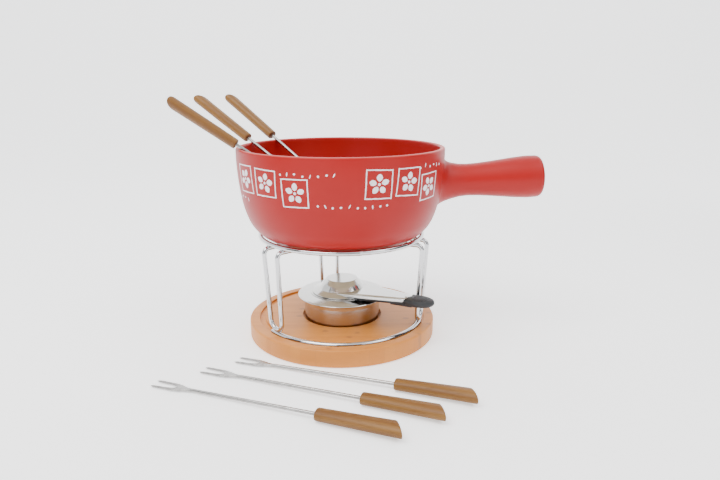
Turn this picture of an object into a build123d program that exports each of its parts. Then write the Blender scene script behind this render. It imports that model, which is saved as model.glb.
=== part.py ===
from build123d import *
import os
from math import asin, cos, degrees, radians, sin

# A fondue set: an earthenware pot with a side handle on a wire stand, which stands in the
# ring groove of a round wooden board, round a small burner.  Three forks lean in the pot and
# three lie on the table.  Millimetres, +Z up, origin at the centre of the board's underside.

# ---- board ----
BOARD_R = 107.9
BOARD_T = 19.4
BOARD_EDGE = 2.2
RECESS_R = 46.2
RECESS_DEPTH = 4.0
GROOVE_IN = 89.1
GROOVE_OUT = 96.5
GAP = 0.3

# ---- wire stand ----
WIRE_R = 2.5
TOP_WIRE_R = 2.6
BOTTOM_RING_R = 92.8
TOP_RING_R = 92.0
BOTTOM_RING_Z = 19.0
TOP_RING_Z = 118.0
WELD = 0.2
LEG_AZIMUTHS = (100.0, 220.0, 340.0)
FRONT_WIRE_PAST_LEG = 6.0
LEG_TOP_R = 97.8
LEG_END_R = 77.0
LEG_TOP_HALF = 12.3
LEG_FOOT_HALF = 10.0
LEG_BEND_R = 6.0

# ---- pot ----
RIM_R = 115.0
RIM_Z = 216.7
RIM_T = 5.4
POT_BASE_R = 81.0
POT_BASE_Z = TOP_RING_Z - TOP_WIRE_R + WELD + GAP
POT_FOOT_W = 8.0
POT_FOOT_H = 1.5
POT_FLOOR_Z = POT_BASE_Z + 6.0
POT_FLOOR_R = 66.0
HANDLE_Z = 176.5
HANDLE_RISE = 2.7
HANDLE_END = 115.0
HANDLE_WALL = 5.0
HANDLE_HOLE_R = 9.5

# ---- burner ----
CUP_R = 43.8
SHEET = 0.8
CUP_TOP = 44.0
SKIRT_BOTTOM = 37.4
FLANGE_R = 51.4
FLANGE_Z = 45.6
COVER_TOP = 46.9
OPENING_R = 22.0
REGULATOR_IN = 24.68
REGULATOR_OUT = 36.8
AIR_HOLES = 6
AIR_HOLE_R = 2.4
AIR_RING_R = 30.5
DOME_TOP_R = 18.5
DOME_TOP_Z = 63.0
DOME_FOOT_R = 26.8
DOME_FOOT_Z = 52.0
BRIM_R = 34.7
BRIM_Z = 48.8
TONGUE_AZ = -36.0
TONGUE_TILT = 3.2
TONGUE_T = 0.9
TONGUE_LIP = 2.0
TONGUE_END_R = 10.5
TONGUE_END_S = 84.0
TONGUE_Z = 51.9
GRIP_END = 121.0
RIVET_S = 89.5
GRIP_T = 3.2
KNOB_AZ = -57.0
KNOB_H = 2.2

# ---- forks ----
FORK_LENGTH = 255.0
FORK_STEEL = 174.0
SHAFT_R = 1.75
TANG = 42.0
TINE_LENGTH = 27.0
TINE_W = 2.3
TINE_T = 2.0
HEAD_W = 12.6
NECK_S = 43.0
GRIP_START = (13.6, 10.6)
GRIP_FAR = (18.5, 11.8)
GRIP_SLANT = 12.0
FORK_RIM_S = 170.3
FORK_RIM_R = 112.4
FORK_RIM_Z = RIM_Z + 3.1
# Where each leaning fork crosses the rim, the way it points in plan, and its roll, in degrees.
POT_FORKS = ((199.8, 177.3, -158.0), (159.4, 156.7, -170.0), (136.5, 147.7, -165.0))
# Where the tips of the forks on the table lie, and the way each points in plan.
TABLE_FORKS = ((-183.0, -135.6, -23.1), (-142.3, -108.7, -23.5), (-111.1, -86.9, -22.1))
TABLE_TIP_Z = 1.3


def turned(profile):
    """A solid of revolution about Z from a face drawn on the XZ plane."""
    return revolve(profile, Axis.Z)


def outline(*lines):
    """A flat face on the XZ plane inside closed lines drawn as (radius, height)."""
    return Plane.XZ * make_face(list(lines))


def corners(points):
    """A flat face on the XZ plane through (radius, height) corners."""
    return outline(Polyline(*points, close=True))


def tangent_arcs(points, tangent):
    """Arcs through (radius, height) points, each one tangent to the one before it."""
    arcs = []
    for start, end in zip(points, points[1:]):
        arcs.append(TangentArc(start, end, tangent=tangent))
        tangent = arcs[-1] % 1
    return arcs


def cylinder(radius, low, high):
    """An upright cylinder about Z between two heights."""
    return Pos(0, 0, (low + high) / 2) * Cylinder(radius, high - low)


def cone_between(low_r, low_z, high_r, high_z):
    """A solid cone frustum between two heights."""
    return turned(corners([(0, low_z), (low_r, low_z), (high_r, high_z), (0, high_z)]))


# ---------------------------------------------------------------- board and stand

def base_board():
    board = cylinder(BOARD_R, 0, BOARD_T)
    board = fillet(board.edges().filter_by(GeomType.CIRCLE), BOARD_EDGE)
    floor = BOTTOM_RING_Z - WIRE_R - GAP
    width = GROOVE_OUT - GROOVE_IN
    channel = Pos((GROOVE_IN + GROOVE_OUT) / 2, 0, floor + BOARD_T / 2) * Box(width, 1, BOARD_T)
    section = channel.faces().sort_by(Axis.Y)[0]
    groove = turned(Pos(0, 0.5, 0) * section)
    lowest = groove.edges().filter_by(GeomType.CIRCLE).group_by(Axis.Z)[0]
    groove = fillet(lowest, 1.6)
    recess = cylinder(RECESS_R, BOARD_T - RECESS_DEPTH, BOARD_T + 1)
    board = board - groove - recess
    return board


def ring(radius, wire, height):
    return Pos(0, 0, height) * Torus(radius, wire)


def front_wire():
    """The wire in the groove that joins the two front legs."""
    start = LEG_AZIMUTHS[1] - FRONT_WIRE_PAST_LEG
    span = LEG_AZIMUTHS[2] - LEG_AZIMUTHS[1] + 2 * FRONT_WIRE_PAST_LEG
    section = Plane.XZ * Pos(BOTTOM_RING_R, 0) * Circle(WIRE_R)
    wire = revolve(section, axis=Axis.Z, revolution_arc=span)
    wire = fillet(wire.faces().filter_by(GeomType.PLANE).edges(), 0.8)
    return Pos(0, 0, BOTTOM_RING_Z) * Rot(0, 0, start) * wire


def stand_leg(azimuth, foot):
    """One leg: a wire bent into a U with its foot at the given height, and with both ends
    turned inwards under the top ring to carry the pot."""
    top = TOP_RING_Z - TOP_WIRE_R - WIRE_R + WELD
    bends_at = [
        (LEG_END_R, LEG_TOP_HALF, top),
        (LEG_TOP_R, LEG_TOP_HALF, top),
        (BOTTOM_RING_R, LEG_FOOT_HALF, foot),
        (BOTTOM_RING_R, -LEG_FOOT_HALF, foot),
        (LEG_TOP_R, -LEG_TOP_HALF, top),
        (LEG_END_R, -LEG_TOP_HALF, top),
    ]
    bends = [LEG_BEND_R, LEG_FOOT_HALF - 0.4, LEG_FOOT_HALF - 0.4, LEG_BEND_R]
    path = FilletPolyline(*bends_at, radius=bends)
    section = Plane(origin=bends_at[0], z_dir=(1, 0, 0)) * Circle(WIRE_R)
    wire = sweep(section, path=path)
    ends = wire.faces().filter_by(GeomType.PLANE).edges()
    wire = fillet(ends, 0.8)
    return Rot(0, 0, azimuth) * wire


# ---------------------------------------------------------------- pot

def pot_outside():
    """The filled outer form of the bowl."""
    base = (POT_BASE_R, POT_BASE_Z)
    neck = (RIM_R, RIM_Z - 8.7)
    side = tangent_arcs([base, (104.4, 139.9), (110.4, 160.8), neck], (1.0, 0.43))
    close = Polyline(neck, (RIM_R, RIM_Z), (0, RIM_Z), (0, POT_BASE_Z), base)
    return turned(outline(*side, close))


def pot_inside():
    """The room inside the bowl."""
    inner = RIM_R - RIM_T
    top = RIM_Z + 1
    base = (POT_FLOOR_R, POT_FLOOR_Z)
    neck = (inner, RIM_Z - 8.7)
    side = tangent_arcs([base, (92.2, 135.7), (104.0, 163.0), neck], (1.0, 0.0))
    close = Polyline(neck, (inner, top), (0, top), (0, POT_FLOOR_Z), base)
    return turned(outline(*side, close))


def on_handle(solid):
    """Place a solid drawn about +Z on the handle's axis, starting at the pot's wall."""
    rise = radians(HANDLE_RISE)
    axis = Plane(origin=(RIM_R - 4, 0, HANDLE_Z), x_dir=(0, 1, 0), z_dir=(cos(rise), 0, sin(rise)))
    return axis.location * solid


def handle_outside():
    side = Spline(
        (26.5, 0), (20.6, 12), (18.0, 30), (19.4, 52), (22.6, 82), (23.7, 97),
        tangents=[(-0.75, 1.0), (0.05, 1.0)])
    end = HANDLE_END
    nose = ThreePointArc((23.7, 97), (22.3, 110.5), (17.5, end))
    close = Polyline((17.5, end), (0, end), (0, 0), (26.5, 0))
    return turned(outline(side, nose, close))


def handle_inside():
    low = 13.0
    wall = HANDLE_WALL
    side = Spline(
        (5.0, low), (12.6, low + 9), (19.4 - wall, 52), (22.6 - wall, 82), (23.0 - wall, 97),
        (HANDLE_HOLE_R, HANDLE_END - wall), tangents=[(1.0, 0.1), (-0.5, 1.0)])
    end = HANDLE_END + 1
    close = Polyline((HANDLE_HOLE_R, HANDLE_END - wall), (HANDLE_HOLE_R, end), (0, end), (0, low), (5.0, low))
    return turned(outline(side, close))


def pot():
    """One piece of glazed earthenware: the bowl, its foot ring and the hollow handle."""
    body = pot_outside() + on_handle(handle_outside())
    body = body - pot_inside() - on_handle(handle_inside())
    body = body - cylinder(POT_BASE_R - POT_FOOT_W, POT_BASE_Z - 1, POT_BASE_Z + POT_FOOT_H)
    rim = body.edges().group_by(Axis.Z)[-1]
    body = fillet(rim, RIM_T / 2 - 0.2)
    return body


# ---------------------------------------------------------------- burner

def burner_cup():
    low = BOARD_T - RECESS_DEPTH + GAP
    cup = cylinder(CUP_R, low, CUP_TOP)
    cup = fillet(cup.edges().filter_by(GeomType.CIRCLE).group_by(Axis.Z)[0], 2.4)
    hollow = cylinder(CUP_R - SHEET, low + SHEET, CUP_TOP + 1)
    hollow = fillet(hollow.edges().filter_by(GeomType.CIRCLE).group_by(Axis.Z)[0], 2.0)
    return cup - hollow


def fuel_wadding():
    low = BOARD_T - RECESS_DEPTH + GAP + SHEET
    pad = cylinder(CUP_R - SHEET - 0.6, low + 0.1, 37.0)
    return fillet(pad.edges().filter_by(GeomType.CIRCLE), 4.0)


def burner_cover():
    """A stamped steel cover: a skirt that slips over the cup, a wide flange with a rolled
    edge, a low cone with air holes and a raised collar round the opening."""
    inner = CUP_R + 0.1
    skin = SHEET
    cone_z = COVER_TOP - 0.3
    points = [
        (inner, SKIRT_BOTTOM), (inner + skin, SKIRT_BOTTOM), (inner + skin, 41.2),
        (inner + 2.0, 43.0), (FLANGE_R - 1.6, 44.2), (FLANGE_R - 0.4, 44.6),
        (FLANGE_R, FLANGE_Z - 0.2), (FLANGE_R - 0.5, FLANGE_Z + 0.5), (FLANGE_R - 2.0, cone_z),
        (REGULATOR_OUT + 1.0, COVER_TOP), (OPENING_R + 2.6, COVER_TOP), (OPENING_R + 1.8, 49.2),
        (OPENING_R + 0.9, 49.8), (OPENING_R, 49.2), (OPENING_R, COVER_TOP - skin),
        (CUP_R + 1.0, COVER_TOP - skin), (FLANGE_R - 3.0, cone_z - skin), (inner + 1.2, 43.9),
        (inner, 41.6),
    ]
    cover = turned(corners(points))
    for index in range(AIR_HOLES):
        spot = Rot(0, 0, index * 360 / AIR_HOLES) * Pos(AIR_RING_R, 0, COVER_TOP)
        cover -= spot * Cylinder(AIR_HOLE_R, 6)
    return cover


def wick_mesh():
    """The fine steel gauze pressed into the cover's opening."""
    return cylinder(OPENING_R + 0.1, COVER_TOP - 0.4, COVER_TOP + 0.4)


def regulator_ring():
    """The flat ring that turns on the cover and opens or shuts its air holes."""
    low = COVER_TOP + 0.05
    high = low + 0.6
    plate = cylinder(REGULATOR_OUT, low, high) - cylinder(REGULATOR_IN, low - 1, high + 1)
    for index in range(AIR_HOLES):
        spot = Rot(0, 0, index * 360 / AIR_HOLES + 6) * Pos(AIR_RING_R, 0, low)
        plate -= spot * Cylinder(AIR_HOLE_R, 4)
    return plate


def regulator_knob():
    """The black tab that turns the regulator ring, beside the snuffer's brim."""
    low = COVER_TOP + 0.65
    body = Pos(40.3, 0, low + KNOB_H / 2) * Box(9.2, 9.0, KNOB_H)
    body = fillet(body.edges().filter_by(Axis.Z), 2.6)
    body = fillet(body.faces().sort_by(Axis.Z)[-1].edges(), 0.8)
    body = body - cylinder(BRIM_R + 0.7, low - 1, low + 5)
    return Rot(0, 0, KNOB_AZ) * body


def on_tongue(solid):
    """Place a solid drawn along +X, at height 0, on the snuffer's sloping tongue."""
    return Rot(0, 0, TONGUE_AZ) * Pos(0, 0, TONGUE_Z) * Rot(0, -TONGUE_TILT, 0) * solid


def tongue_outline(grow=0.0, front=DOME_FOOT_R):
    """The teardrop that runs from the dome's foot out to the round end of the tongue."""
    wide = Circle(front + grow)
    tip = Pos(TONGUE_END_S, 0) * Circle(TONGUE_END_R + grow)
    drop = make_hull([wide.edge(), tip.edge()])
    return drop & Pos(100, 0) * Rectangle(200 - 24, 200)


def snuffer_lid():
    """The stamped lid: a flat-topped dome and a sloping brim."""
    return turned(corners([
        (0, DOME_TOP_Z), (DOME_TOP_R - 1.2, DOME_TOP_Z), (DOME_TOP_R, DOME_TOP_Z - 0.7),
        (22.6, 59.4), (25.4, 55.4), (DOME_FOOT_R, DOME_FOOT_Z),
        (BRIM_R - 0.4, BRIM_Z + 0.1), (BRIM_R, BRIM_Z - 0.3), (BRIM_R, BRIM_Z - 0.9),
        (BRIM_R - 0.9, BRIM_Z - 0.6),
        (DOME_FOOT_R - 0.5, DOME_FOOT_Z - 0.9), (24.6, 55.0), (21.9, 58.8),
        (DOME_TOP_R - 0.7, DOME_TOP_Z - 1.4), (DOME_TOP_R - 1.5, DOME_TOP_Z - SHEET),
        (0, DOME_TOP_Z - SHEET),
    ]))


def snuffer_tongue():
    """The lid's teardrop tongue, a solid of its own that meets the dome and brim face to face."""
    plate = extrude(tongue_outline(), TONGUE_LIP)
    hollow = extrude(tongue_outline(-TONGUE_T), TONGUE_LIP - TONGUE_T)
    tongue = on_tongue(Pos(0, 0, -TONGUE_LIP) * (plate - hollow))
    tongue = tongue - cone_between(DOME_FOOT_R + 0.3, 46, DOME_FOOT_R - 6.2, 61.0)
    tongue = tongue - cone_between(60.0, 38.56, DOME_FOOT_R - 0.4, DOME_FOOT_Z)
    tongue = tongue - on_tongue(Pos(RIVET_S, 0, 0) * Cylinder(2.0, 12))
    pieces = (tongue - snuffer_lid()).solids()
    return pieces.sort_by(SortBy.VOLUME)[-1]


def snuffer_handle():
    """Black moulded grip under the tongue, with a ribbed oval paddle at its outer end."""
    arm = Pos(0, 0, -GRIP_T) * extrude(tongue_outline(-TONGUE_T - 0.05), GRIP_T - TONGUE_T)
    paddle = Pos(102.0, 0, -1.2) * extrude(Ellipse(GRIP_END - 102.0, 11.5), 3.4, both=True)
    paddle = fillet(paddle.edges(), 2.4)
    pocket = extrude(tongue_outline(0.15), TONGUE_LIP + 6)
    paddle = paddle - Pos(0, 0, -TONGUE_LIP) * pocket
    grip = arm + paddle
    for index in range(6):
        grip -= Pos(100.5 + 2.9 * index, 0, 2.5) * Box(0.9, 30, 1.3)
    grip = grip - Pos(RIVET_S, 0, 0) * Cylinder(2.0, 20)
    grip = on_tongue(grip)
    grip = grip - cone_between(60.0, 38.7, DOME_FOOT_R - 0.4, DOME_FOOT_Z + 0.15)
    grip = grip - cylinder(BRIM_R + 0.2, 40, BRIM_Z + 0.4)
    return grip - cylinder(DOME_FOOT_R + 0.8, 40, 70)


def handle_rivet():
    """The steel rivet that holds the tongue to the grip."""
    shank = Pos(RIVET_S, 0, -2.1) * Cylinder(2.0, 5.6)
    head = Pos(RIVET_S, 0, 0.65) * Cylinder(3.4, 1.3)
    head = fillet(head.edges().group_by(Axis.Z)[-1], 1.1)
    tail = Pos(RIVET_S, 0, -5.2) * Cylinder(3.2, 1.0)
    tail = fillet(tail.edges().group_by(Axis.Z)[0], 0.8)
    return on_tongue(shank + head + tail)


# ---------------------------------------------------------------- forks

def fork_blade():
    """Drawn along +X from the tine tips at X = 0: two tines, a flattened web, a round shaft
    and the tang that is glued into the handle."""
    half = HEAD_W / 2
    web = TINE_LENGTH + 4
    edge = [
        (0, half - 0.7), (5, half), (TINE_LENGTH, half - 0.6), (web, half - 1.3),
        (NECK_S - 4, 2.4), (NECK_S + 2, 1.2),
    ]
    mirrored = [(x, -y) for x, y in reversed(edge)]
    head = extrude(make_face(Polyline(*edge, *mirrored, close=True)), TINE_T / 2, both=True)
    slot = half - TINE_W
    throat = [(-1, slot + 0.5), (4, slot), (TINE_LENGTH - 6, slot - 0.8), (TINE_LENGTH, 0)]
    low = [(x, -y) for x, y in reversed(throat[:-1])]
    head -= extrude(make_face(Polyline(*throat, *low, close=True)), TINE_T, both=True)
    length = FORK_STEEL + TANG - NECK_S + 4
    shaft = Pos(NECK_S - 4 + length / 2, 0, 0) * Rot(0, 90, 0) * Cylinder(SHAFT_R, length)
    return head + shaft


def fork_grip():
    """The oval wooden handle, wider at its far end, which is cut on a slant."""
    far = FORK_LENGTH - FORK_STEEL + 2
    steps = [
        (0.0, GRIP_START[0] - 2.4, GRIP_START[1] - 2.4),
        (1.4, GRIP_START[0] - 0.3, GRIP_START[1] - 0.3),
        (8.0, GRIP_START[0] + 0.5, GRIP_START[1] + 0.2),
        (far, GRIP_FAR[0], GRIP_FAR[1]),
    ]
    frame = Plane(origin=(0, 0, 0), x_dir=(0, 1, 0), z_dir=(1, 0, 0))
    sections = [frame.offset(s) * Ellipse(w / 2, t / 2) for s, w, t in steps]
    wood = loft(sections, ruled=True)
    slant = degrees(asin(GRIP_SLANT / (GRIP_SLANT ** 2 + GRIP_FAR[0] ** 2) ** 0.5))
    middle = FORK_LENGTH - FORK_STEEL - GRIP_SLANT / 2
    cutter = Pos(middle, 0, 0) * Rot(0, 0, slant) * Pos(30, 0, 0) * Box(60, 90, 60)
    wood = wood - cutter
    bore = Pos(TANG / 2 - 1, 0, 0) * Rot(0, 90, 0) * Cylinder(SHAFT_R, TANG + 2)
    return Pos(FORK_STEEL, 0, 0) * (wood - bore)


def leaning(rim_azimuth, heading, roll):
    """Where a fork lies that stands on the pot's floor and crosses its rim."""
    turn = radians(roll)
    tip_z = POT_FLOOR_Z + GAP + 0.5 * (HEAD_W * abs(sin(turn)) + TINE_T * abs(cos(turn)))
    slope = asin((FORK_RIM_Z - tip_z) / FORK_RIM_S)
    plan = radians(heading)
    along = Vector(cos(slope) * cos(plan), cos(slope) * sin(plan), sin(slope))
    phi = radians(rim_azimuth)
    at_rim = Vector(FORK_RIM_R * cos(phi), FORK_RIM_R * sin(phi), FORK_RIM_Z)
    tip = at_rim - along * FORK_RIM_S
    side = Vector(-sin(plan), cos(plan), 0)
    return Plane(origin=tip, x_dir=along, z_dir=along.cross(side)).location * Rot(roll, 0, 0)


def lying(tip_x, tip_y, heading):
    """Where a fork lies on the table: on its tine tips and the near edge of its handle."""
    lift = GRIP_START[1] / 2 - TABLE_TIP_Z + 0.2
    slope = degrees(asin(lift / FORK_STEEL))
    return Pos(tip_x, tip_y, TABLE_TIP_Z) * Rot(0, 0, heading) * Rot(0, -slope, 0)


def all_parts():
    parts = {
        "base_board": base_board(),
        "bottom_ring": front_wire(),
        "top_ring": ring(TOP_RING_R, TOP_WIRE_R, TOP_RING_Z),
        "pot": pot(),
        "burner_cup": burner_cup(),
        "fuel_wadding": fuel_wadding(),
        "burner_cover": burner_cover(),
        "wick_mesh": wick_mesh(),
        "regulator_ring": regulator_ring(),
        "regulator_knob": regulator_knob(),
        "snuffer_lid": snuffer_lid(),
        "snuffer_tongue": snuffer_tongue(),
        "snuffer_handle": snuffer_handle(),
        "handle_rivet": handle_rivet(),
    }
    on_wire = BOTTOM_RING_Z + 2 * WIRE_R - WELD
    feet = (BOTTOM_RING_Z, on_wire, on_wire)
    for number, (azimuth, foot) in enumerate(zip(LEG_AZIMUTHS, feet), 1):
        parts[f"stand_leg_{number}"] = stand_leg(azimuth, foot)
    places = {f"pot_fork_{n}": leaning(*spec) for n, spec in enumerate(POT_FORKS, 1)}
    places |= {f"table_fork_{n}": lying(*spec) for n, spec in enumerate(TABLE_FORKS, 1)}
    for name, place in places.items():
        parts[f"{name}_blade"] = place * fork_blade()
        parts[f"{name}_handle"] = place * fork_grip()
    return parts


os.makedirs("parts", exist_ok=True)
for node, solid in all_parts().items():
    export_step(solid, f"parts/{node}.step")
    box = solid.bounding_box()
    print(node, len(solid.solids()), [round(v, 1) for v in (*box.min, *box.max)])
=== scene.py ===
import math
import random
import bmesh
import bpy
import numpy as np
from mathutils import Matrix, Vector


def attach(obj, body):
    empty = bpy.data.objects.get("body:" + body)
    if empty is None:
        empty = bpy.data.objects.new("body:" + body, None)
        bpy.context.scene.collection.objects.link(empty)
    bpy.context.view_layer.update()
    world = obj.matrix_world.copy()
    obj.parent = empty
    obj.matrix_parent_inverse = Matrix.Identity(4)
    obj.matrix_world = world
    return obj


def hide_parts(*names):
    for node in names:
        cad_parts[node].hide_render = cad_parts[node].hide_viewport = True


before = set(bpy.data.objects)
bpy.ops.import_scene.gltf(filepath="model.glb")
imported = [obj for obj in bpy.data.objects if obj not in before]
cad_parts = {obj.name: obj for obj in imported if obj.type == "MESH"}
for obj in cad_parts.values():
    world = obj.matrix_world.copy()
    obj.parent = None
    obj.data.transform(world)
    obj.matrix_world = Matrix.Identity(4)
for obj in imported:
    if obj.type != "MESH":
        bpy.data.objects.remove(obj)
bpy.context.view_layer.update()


# -------- the board
# The round board that carries the set: bamboo strips glued side by side, turned, sanded and
# lacquered.  The ring groove takes the stand's front wire and its back foot, and the shallow
# recess in the middle takes the burner.
MM = 0.001
BOARD_LINE = [
    (0, 0, 0), (107.9, 0, 2.2), (107.9, 19.4, 2.2), (96.5, 19.4, 0.5), (96.5, 16.2, 1.6),
    (89.1, 16.2, 1.6), (89.1, 19.4, 0.5), (46.2, 19.4, 0.5), (46.2, 15.4, 0.4), (0, 15.4, 0),
]
STRIP = 0.0057
NODE_PITCH = 0.23


def rounded(corners, closed=False, steps=5):
    """The line through (x, y, radius) corners, with each corner turned by its radius."""
    line = []
    count = len(corners)
    for index, (x, y, radius) in enumerate(corners):
        here = Vector((x, y))
        if radius == 0 or (not closed and index in (0, count - 1)):
            line.append(here)
            continue
        before = Vector(corners[index - 1][:2]) - here
        after = Vector(corners[(index + 1) % count][:2]) - here
        half = before.angle(after) / 2
        reach = min(radius / math.tan(half), 0.48 * min(before.length, after.length))
        start = here + before.normalized() * reach
        end = here + after.normalized() * reach
        for step in range(steps + 1):
            t = step / steps
            line.append(start * (1 - t) ** 2 + here * 2 * t * (1 - t) + end * t ** 2)
    return line


def turned(name, line, around=192, closed=False):
    """A body turned about Z from (radius, height) points in millimetres."""
    points, rings, faces = [], [], []
    for radius, height in line:
        sides = 1 if radius < 1e-6 else around
        rings.append([len(points) + side for side in range(sides)])
        for side in range(sides):
            angle = 2 * math.pi * side / around
            points.append((radius * math.cos(angle) * MM, radius * math.sin(angle) * MM, height * MM))
    pairs = list(zip(rings, rings[1:]))
    if closed:
        pairs.append((rings[-1], rings[0]))
    for low, high in pairs:
        for side in range(around):
            after = (side + 1) % around
            corner = [low[side % len(low)], low[after % len(low)],
                      high[after % len(high)], high[side % len(high)]]
            corner = list(dict.fromkeys(corner))
            if len(corner) > 2:
                faces.append(corner)
    return solid(name, points, faces)


def solid(name, points, faces, edge=35):
    """A mesh with its normals outwards and soft shading up to the edge angle in degrees."""
    mesh = bpy.data.meshes.new(name)
    mesh.from_pydata([tuple(point) for point in points], [], faces)
    mesh.validate()
    if signed_volume(mesh) < 0:
        mesh.flip_normals()
    mesh.shade_smooth()
    mesh.set_sharp_from_angle(angle=math.radians(edge))
    return mesh


def signed_volume(mesh):
    total = 0.0
    for face in mesh.polygons:
        spots = [mesh.vertices[index].co for index in face.vertices]
        for second, third in zip(spots[1:], spots[2:]):
            total += spots[0].dot(second.cross(third))
    return total


def fit(mesh, finish, body, nodes=(), place=None):
    """Set a mesh on its body in its finish, in place of its solids."""
    piece = bpy.data.objects.new(mesh.name, mesh)
    bpy.context.scene.collection.objects.link(piece)
    mesh.materials.clear()
    mesh.materials.append(finish.material)
    if place is not None:
        piece.matrix_world = place
    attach(piece, body)
    if nodes:
        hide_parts(*nodes)
    return piece


class Shade:
    """A value inside a finish, worked out with ordinary arithmetic."""

    def __init__(self, finish, socket):
        self.finish = finish
        self.socket = socket

    def work(self, operation, first, second=0.0):
        return self.finish.node("Math", {"operation": operation}, {0: first, 1: second})

    def __add__(self, other):
        return self.work("ADD", self, other)

    def __sub__(self, other):
        return self.work("SUBTRACT", self, other)

    def __rsub__(self, other):
        return self.work("SUBTRACT", other, self)

    def __mul__(self, other):
        return self.work("MULTIPLY", self, other)

    def __truediv__(self, other):
        return self.work("DIVIDE", self, other)

    __radd__ = __add__
    __rmul__ = __mul__

    def floor(self):
        return self.work("FLOOR", self)

    def part(self):
        return self.work("FRACT", self)

    def size(self):
        return self.work("ABSOLUTE", self)

    def between(self, low, high):
        """0 below low, 1 above high, and a soft step from one to the other."""
        settings = {"interpolation_type": "SMOOTHSTEP"}
        return self.finish.node("MapRange", settings, {0: self, 1: low, 2: high, 3: 0.0, 4: 1.0})


class Finish:
    """A material: what is the same all over is set at once, and the rest is linked."""

    def __init__(self, name, settings):
        self.material = bpy.data.materials.new(name)
        self.material.use_nodes = True
        self.tree = self.material.node_tree
        self.shader = self.tree.nodes["Principled BSDF"]
        for label, value in settings.items():
            self.shader.inputs[label].default_value = value

    def node(self, kind, settings, inputs, output=0):
        """Add a node: its settings first, then the values or links of its sockets."""
        made = self.tree.nodes.new("ShaderNode" + kind)
        for key, value in settings.items():
            setattr(made, key, value)
        for key, value in inputs.items():
            if isinstance(value, Shade):
                self.tree.links.new(value.socket, made.inputs[key])
            else:
                made.inputs[key].default_value = value
        return Shade(self, made.outputs[output])

    def drive(self, label, shade):
        self.tree.links.new(shade.socket, self.shader.inputs[label])

    def spot(self, stretch=(1, 1, 1), shift=(0, 0, 0)):
        """The place on the piece, in metres, stretched and shifted."""
        place = self.node("TexCoord", {}, {}, "Object")
        moved = self.node("VectorMath", {"operation": "ADD"}, {0: place, 1: shift})
        return self.node("VectorMath", {"operation": "MULTIPLY"}, {0: moved, 1: stretch})

    def along(self, axis):
        """One coordinate of the place on the piece: X, Y or Z."""
        return self.node("SeparateXYZ", {}, {0: self.spot()}, axis)

    def noise(self, scale, detail=2.0, stretch=(1, 1, 1), shift=(0, 0, 0)):
        inputs = {"Vector": self.spot(stretch, shift), "Scale": scale, "Detail": detail}
        return self.node("TexNoise", {}, inputs, "Fac")

    def chance(self, value):
        """A random number that stays the same for the same value."""
        return self.node("TexWhiteNoise", {"noise_dimensions": "1D"}, {"W": value}, "Value")

    def blend(self, share, first, second):
        """The first colour where share is 0 and the second where it is 1."""
        inputs = {0: share, 6: first, 7: second}
        return self.node("Mix", {"data_type": "RGBA"}, inputs, 2)

    def relief(self, height, depth, strength=1.0):
        inputs = {"Height": height, "Distance": depth, "Strength": strength}
        self.drive("Normal", self.node("Bump", {}, inputs, "Normal"))


def bamboo_finish():
    """Strips that run along X, each with its own tone, fibres and dark nodes."""
    bamboo = Finish("bamboo", {"Coat Weight": 0.08, "Coat Roughness": 0.3, "Specular IOR Level": 0.35})
    across = bamboo.along("Y") / STRIP + 50.3
    strip = across.floor()
    tone = bamboo.chance(strip)
    node_at = (bamboo.along("X") / NODE_PITCH + bamboo.chance(strip + 7.7) + 4.0).part() - 0.5
    bend = bamboo.noise(160, 1.0) - 0.5
    node = 1 - (node_at.size() + bend * 0.02).between(0.004, 0.021)
    fibre = bamboo.noise(1.0, 3.0, stretch=(60, 2400, 2400))
    cloud = bamboo.noise(1.0, 2.0, stretch=(9, 60, 60))
    seam = ((across.part() - 0.5).size()).between(0.455, 0.495)
    colour = bamboo.blend(tone * 0.55 + cloud * 0.35, (0.63, 0.238, 0.034, 1), (0.51, 0.168, 0.020, 1))
    colour = bamboo.blend((fibre - 0.42) * 1.1, colour, (0.36, 0.125, 0.024, 1))
    colour = bamboo.blend(seam * 0.15, colour, (0.32, 0.13, 0.04, 1))
    colour = bamboo.blend(node * 0.55, colour, (0.30, 0.105, 0.03, 1))
    bamboo.drive("Base Color", colour)
    bamboo.drive("Roughness", 0.42 + fibre * 0.16)
    bamboo.relief(fibre - seam * 0.6, 0.0002, 0.25)
    return bamboo


board = turned("base_board_bamboo", rounded(BOARD_LINE), 256)
fit(board, bamboo_finish(), "board", ["base_board"])


# -------- the stand
# A ring of drawn steel wire carries the pot on three legs, each a wire bent into a U with its
# bent-in ends welded under the ring.  The two front feet are welded on a curved wire that lies
# in the board's groove, and the back foot stands in it.  All of it is chromium plated.
FRONT_WIRE = (92.8, 19.0, 214.0, 346.0)
TOP_RING = (92.0, 2.6, 118.0)
LEG_AZIMUTHS = (100.0, 220.0, 340.0)
LEG_WIRE = 2.5
LEG_FEET = (19.0, 23.8, 23.8)
LEG_TOP = [(77.0, 12.3, 113.1), (97.8, 12.3, 113.1)]
LEG_FOOT = (92.8, 10.0)
LEG_BENDS = (6.0, 9.6, 9.6, 6.0)
TOP_WELD = (91.2, 12.3, 115.5)
FOOT_WELD = (92.8, 0.0, 21.4)
BUTT_WELD_AZIMUTH = -79.0
BUTT_SWELL = (4.2, 0.7)
TOP_SWELL = (4.5, 0.45)
FOOT_SWELL = (5.0, 0.4)
CAP_TURNS = (1.57, 1.1, 0.6, 0.0)


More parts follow.
